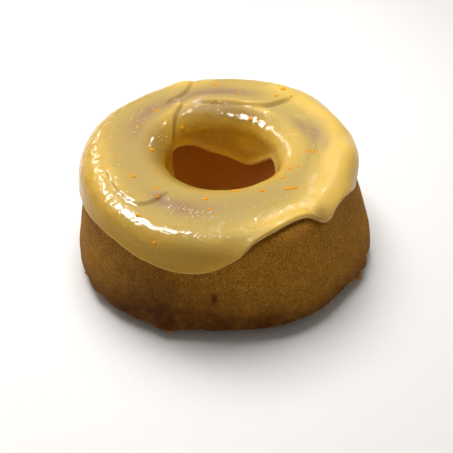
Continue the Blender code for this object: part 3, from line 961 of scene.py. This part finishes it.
def glossy_icing():
    """Orange glace icing, poured and set wet: smooth, a little cloudy, with tiny air bubbles."""
    material, tree, shader, spots = new_material("poured_orange_icing")
    cloud = add_node(tree, "ShaderNodeTexNoise", {"Scale": 70.0, "Detail": 3.0}, {"Vector": spots})
    base = add_node(tree, "ShaderNodeRGB", {})
    base.outputs[0].default_value = hex_colour("#C0A45E")
    now = base.outputs[0]
    for fact, tint, strength in (
        # The yellow of thick icing, and painted light at one patch on the hole's right lip.
        ("thick_and_lit", "#ECC45F", 1.0),
        ("thin", "#A07C64", 0.9),
        # Painted shade: darker, deeper orange where the icing hangs down the side.
        ("hang_shade", "#C28F22", 0.85),
        # Painted bounce light: a deep yellow where the icing runs down the shaded hole.
        ("down_hole", "#E2AA04", 0.9),
        # Painted shade over the hole's lip and in dips.
        ("painted_shade", "#7F6430", 0.75),
        ("rim", "#E0C078", 0.12),
    ):
        read = add_node(tree, "ShaderNodeAttribute", {"attribute_name": fact}).outputs["Fac"]
        uneven = add_node(
            tree, "ShaderNodeMapRange",
            {"From Min": 0.3, "From Max": 0.7, "To Min": 0.75 * strength, "To Max": strength},
            {"Value": cloud.outputs["Fac"]},
        )
        amount = add_node(tree, "ShaderNodeMath", {"operation": "MULTIPLY"}, {0: read, 1: uneven.outputs[0]})
        now = add_node(
            tree, "ShaderNodeMix", {"data_type": "RGBA", 7: hex_colour(tint)}, {0: amount.outputs[0], 6: now}
        ).outputs[2]

    # Dots of pith and zest dust under the surface, about a millimetre across.
    for scale, tint, share, strength in ((280.0, "#80682E", 0.82, 0.7), (210.0, "#F0A024", 0.84, 0.7)):
        cells = add_node(tree, "ShaderNodeTexVoronoi", {"Scale": scale, "Randomness": 1.0}, {"Vector": spots})
        split = add_node(tree, "ShaderNodeSeparateColor", {}, {0: cells.outputs["Color"]})
        chosen = add_node(
            tree, "ShaderNodeMath", {"operation": "GREATER_THAN", 1: share}, {0: split.outputs[0]}
        )
        dot = add_node(
            tree, "ShaderNodeMapRange",
            {"From Min": 0.07, "From Max": 0.16, "To Min": strength, "To Max": 0.0},
            {"Value": cells.outputs["Distance"]},
        )
        amount = add_node(
            tree, "ShaderNodeMath", {"operation": "MULTIPLY"}, {0: chosen.outputs[0], 1: dot.outputs[0]}
        )
        now = add_node(
            tree, "ShaderNodeMix", {"data_type": "RGBA", 7: hex_colour(tint)}, {0: amount.outputs[0], 6: now}
        ).outputs[2]
    tree.links.new(now, shader.inputs["Base Color"])

    # The skin of the icing puckers at about 6, 3 and 1 mm, which breaks up its reflections.
    pucker = add_node(tree, "ShaderNodeTexNoise", {"Scale": 300.0, "Detail": 2.0}, {"Vector": spots})
    grain = add_node(tree, "ShaderNodeTexNoise", {"Scale": 900.0, "Detail": 1.0}, {"Vector": spots})
    wrinkled = add_node(tree, "ShaderNodeAttribute", {"attribute_name": "wrinkled"}).outputs["Fac"]
    strength = add_node(tree, "ShaderNodeMapRange", {"To Min": 0.28, "To Max": 1.0}, {"Value": wrinkled})
    swirl = add_node(tree, "ShaderNodeTexNoise", {"Scale": 165.0, "Detail": 1.0}, {"Vector": spots})
    broad = add_node(
        tree, "ShaderNodeBump", {"Distance": 0.0011},
        {"Height": swirl.outputs["Fac"], "Strength": strength.outputs[0]},
    )
    coarse = add_node(
        tree, "ShaderNodeBump", {"Distance": 0.0008},
        {"Height": pucker.outputs["Fac"], "Strength": strength.outputs[0], "Normal": broad.outputs["Normal"]},
    )
    fine = add_node(
        tree, "ShaderNodeBump", {"Strength": 1.0, "Distance": 0.00004},
        {"Height": grain.outputs["Fac"], "Normal": coarse.outputs["Normal"]},
    )
    tree.links.new(fine.outputs["Normal"], shader.inputs["Normal"])
    satin = add_node(tree, "ShaderNodeAttribute", {"attribute_name": "satin"}).outputs["Fac"]
    dull = add_node(tree, "ShaderNodeMapRange", {"To Min": 0.13, "To Max": 0.42}, {"Value": satin})
    tree.links.new(dull.outputs[0], shader.inputs["Roughness"])
    shader.inputs["IOR"].default_value = 1.38
    shader.inputs["Subsurface Weight"].default_value = 0.35
    shader.inputs["Subsurface Radius"].default_value = (1.0, 0.55, 0.2)
    shader.inputs["Subsurface Scale"].default_value = 0.004
    shader.inputs["Coat Weight"].default_value = 0.1
    shader.inputs["Coat Roughness"].default_value = 0.06
    return material


def bubble_skin():
    """Sugar glaze stretched over small air bubbles: thin, clear and wet, so that each one glints."""
    material, tree, shader, spots = new_material("glaze_bubble_skin")
    film = add_node(tree, "ShaderNodeTexNoise", {"Scale": 500.0, "Detail": 1.0}, {"Vector": spots})
    colour = add_node(
        tree, "ShaderNodeMix", {"data_type": "RGBA", 6: hex_colour("#DDBE78"), 7: hex_colour("#F2DCA0")},
        {0: film.outputs["Fac"]},
    )
    tree.links.new(colour.outputs[2], shader.inputs["Base Color"])
    shader.inputs["Roughness"].default_value = 0.12
    shader.inputs["IOR"].default_value = 1.6
    shader.inputs["Coat Weight"].default_value = 1.0
    shader.inputs["Coat Roughness"].default_value = 0.1
    return material


def baked_crust(name, light, middle, dark):
    """Baked sponge: a dry, matt crust of fine open crumb, unevenly brown, with painted shade, shadow and
    bounce light.
    """
    material, tree, shader, spots = new_material(name)
    crumb = add_node(
        tree, "ShaderNodeTexNoise", {"Scale": 1150.0, "Detail": 3.0, "Roughness": 0.7}, {"Vector": spots}
    )
    mottle = add_node(
        tree, "ShaderNodeTexNoise", {"Scale": 120.0, "Detail": 4.0, "Roughness": 0.6}, {"Vector": spots}
    )
    speckle = add_node(
        tree, "ShaderNodeMapRange", {"From Min": 0.37, "From Max": 0.63}, {"Value": crumb.outputs["Fac"]}
    )
    blotch = add_node(
        tree, "ShaderNodeMapRange", {"From Min": 0.35, "From Max": 0.65}, {"Value": mottle.outputs["Fac"]}
    )
    now = add_node(
        tree, "ShaderNodeMix", {"data_type": "RGBA", 6: hex_colour(dark), 7: hex_colour(light)},
        {0: speckle.outputs[0]},
    ).outputs[2]
    now = add_node(
        tree, "ShaderNodeMix", {"data_type": "RGBA", 0: 0.3, 7: hex_colour(middle)}, {6: now}
    ).outputs[2]
    cloud = add_node(
        tree, "ShaderNodeMapRange", {"From Min": 0.3, "From Max": 0.7, "To Max": 0.28},
        {"Value": mottle.outputs["Fac"]},
    )
    now = add_node(
        tree, "ShaderNodeMix", {"data_type": "RGBA", 7: hex_colour(dark)}, {0: cloud.outputs[0], 6: now}
    ).outputs[2]
    for fact, tint, strength in (
        # Darker towards the foot and in patches: browning, and painted shade.
        ("browned_and_shaded", "#502B04", 1.0),
        # Painted shadow just below the icing's edge.
        ("shadow_under_icing", "#7A4A14", 0.5),
        # Deeper orange down the hole: partly the crust's own redder tint, partly painted bounce light in the
        # shaded hole.
        ("in_hole", "#BE7416", 0.82),
    ):
        read = add_node(tree, "ShaderNodeAttribute", {"attribute_name": fact}).outputs["Fac"]
        uneven = add_node(
            tree, "ShaderNodeMapRange", {"To Min": 0.78 * strength, "To Max": strength},
            {"Value": blotch.outputs[0]},
        )
        amount = add_node(tree, "ShaderNodeMath", {"operation": "MULTIPLY"}, {0: read, 1: uneven.outputs[0]})
        now = add_node(
            tree, "ShaderNodeMix", {"data_type": "RGBA", 7: hex_colour(tint)}, {0: amount.outputs[0], 6: now}
        ).outputs[2]
    tree.links.new(now, shader.inputs["Base Color"])
    pores = add_node(tree, "ShaderNodeTexVoronoi", {"Scale": 700.0}, {"Vector": spots})
    deep = add_node(
        tree, "ShaderNodeBump", {"Strength": 0.8, "Distance": 0.0005}, {"Height": crumb.outputs["Fac"]}
    )
    pitted = add_node(
        tree, "ShaderNodeBump", {"Strength": 0.5, "Distance": 0.0002},
        {"Height": pores.outputs["Distance"], "Normal": deep.outputs["Normal"]},
    )
    tree.links.new(pitted.outputs["Normal"], shader.inputs["Normal"])
    shader.inputs["Roughness"].default_value = 0.82
    shader.inputs["IOR"].default_value = 1.4
    shader.inputs["Specular IOR Level"].default_value = 0.12
    return material


def orange_zest():
    """Grated orange zest: oily, deep orange, paler where pith shows."""
    material, tree, shader, spots = new_material("grated_orange_zest")
    pith = add_node(tree, "ShaderNodeTexNoise", {"Scale": 600.0, "Detail": 2.0}, {"Vector": spots})
    share = add_node(
        tree, "ShaderNodeMapRange", {"From Min": 0.4, "From Max": 0.65}, {"Value": pith.outputs["Fac"]}
    )
    colour = add_node(
        tree, "ShaderNodeMix", {"data_type": "RGBA", 6: hex_colour("#EC9400"), 7: hex_colour("#F4A800")},
        {0: share.outputs[0]},
    )
    tree.links.new(colour.outputs[2], shader.inputs["Base Color"])
    bump = add_node(
        tree, "ShaderNodeBump", {"Strength": 0.5, "Distance": 0.0002}, {"Height": pith.outputs["Fac"]}
    )
    tree.links.new(bump.outputs["Normal"], shader.inputs["Normal"])
    shader.inputs["Roughness"].default_value = 0.6
    shader.inputs["Specular IOR Level"].default_value = 0.04
    return material


def pale_floor():
    """A matt painted table top, which glows faintly far off, beyond the reach of the lights."""
    material, tree, shader, spots = new_material("pale_table")
    shader.inputs["Base Color"].default_value = hex_colour("#F8F6F3")
    shader.inputs["Roughness"].default_value = 0.7
    away = add_node(tree, "ShaderNodeVectorMath", {"operation": "LENGTH"}, {0: spots})
    glow = add_node(
        tree, "ShaderNodeMapRange", {"From Min": 0.5, "From Max": 1.3, "To Max": 0.7},
        {"Value": away.outputs["Value"]},
    )
    shader.inputs["Emission Color"].default_value = hex_colour("#F8F6F3")
    tree.links.new(glow.outputs[0], shader.inputs["Emission Strength"])
    return material


def make_stage():
    """The pale floor, the pale room round it and the soft lights."""
    top = bmesh.new()
    bmesh.ops.create_grid(top, x_segments=1, y_segments=1, size=FLOOR_HALF_SIZE)
    mesh = bpy.data.meshes.new("floor")
    top.to_mesh(mesh)
    top.free()
    floor = bpy.data.objects.new("floor", mesh)
    floor.data.materials.append(pale_floor())
    bpy.context.scene.collection.objects.link(floor)

    world = bpy.data.worlds.new("pale_room")
    world.use_nodes = True
    bpy.context.scene.world = world
    tree = world.node_tree
    room = tree.nodes["Background"]
    room.inputs["Color"].default_value = hex_colour("#F4F1EC")
    # The room is seen as pale, and lights the cake much less than that.
    seen = add_node(tree, "ShaderNodeLightPath", {}).outputs["Is Camera Ray"]
    wall = add_node(tree, "ShaderNodeMapRange", {"To Min": 0.22, "To Max": 0.95}, {"Value": seen})
    tree.links.new(wall.outputs[0], room.inputs["Strength"])
    bpy.context.scene.view_settings.view_transform = "Standard"

    # The soft box lights the whole cake from above. The cards only shine in its glossy icing.
    for name, towards, distance, size, power, lights_all in (
        ("soft_box", (-0.14, 0.30, 0.94), 0.80, (0.50, 0.50), 7.2, True),
        ("long_card", (-0.45, 0.05, 0.89), 1.2, (0.22, 0.60), 28.0, False),
        ("window_card", (-0.50, 0.76, 0.40), 1.5, (0.10, 0.22), 3.2, False),
        ("left_card", (-0.50, 0.46, 0.73), 1.2, (0.09, 0.09), 2.6, False),
        ("spark_card", (0.10, 0.62, 0.78), 1.4, (0.06, 0.06), 1.6, False),
    ):
        data = bpy.data.lights.new(name, "AREA")
        data.shape = "RECTANGLE"
        data.size, data.size_y = size
        data.energy = power
        light = bpy.data.objects.new(name, data)
        light.visible_diffuse = lights_all
        light.visible_glossy = not lights_all
        direction = Vector(towards).normalized()
        light.location = direction * distance
        light.rotation_euler = direction.to_track_quat("Z", "Y").to_euler()
        bpy.context.scene.collection.objects.link(light)


def make_camera():
    """The camera, looking down on the cake from its front."""
    data = bpy.data.cameras.new("camera")
    data.sensor_width = SENSOR_WIDTH
    data.lens = LENS
    camera = bpy.data.objects.new("camera", data)
    right = Vector(CAMERA_RIGHT).normalized()
    back = right.cross(Vector(CAMERA_UP)).normalized()
    axes = Matrix((right, back.cross(right), back)).transposed()
    camera.matrix_world = Matrix.Translation(CAMERA_PLACE) @ axes.to_4x4()
    bpy.context.scene.collection.objects.link(camera)
    bpy.context.scene.camera = camera


make_camera()
make_stage()

icing_look = glossy_icing()
crust_look = baked_crust("baked_sponge_crust", "#DAA03C", "#B6751C", "#6A3A05")

sponge = make_sponge()
sponge.data.materials.append(crust_look)
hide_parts("sponge")

icing = make_icing()
icing.data.materials.append(icing_look)
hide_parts("icing")

icing_surface = surface_of(icing)
zest = scatter_pips("zest_flecks", icing_surface, fleck_pips(), FLECK_JITTER, FLECK_SHAPE_SEED)
zest.data.materials.append(orange_zest())

bubbles = scatter_pips("air_bubbles", icing_surface, bubble_pips(), BUBBLE_JITTER, BUBBLE_SHAPE_SEED)
bubbles.data.materials.append(bubble_skin())

sponge_surface = surface_of(sponge)
crumbs = scatter_pips("crust_crumbs", sponge_surface, crumb_pips(), CRUMB_JITTER, CRUMB_SHAPE_SEED)
crumbs.data.materials.append(crust_look)

for piece in (sponge, icing, zest, bubbles, crumbs):
    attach(piece, "root")
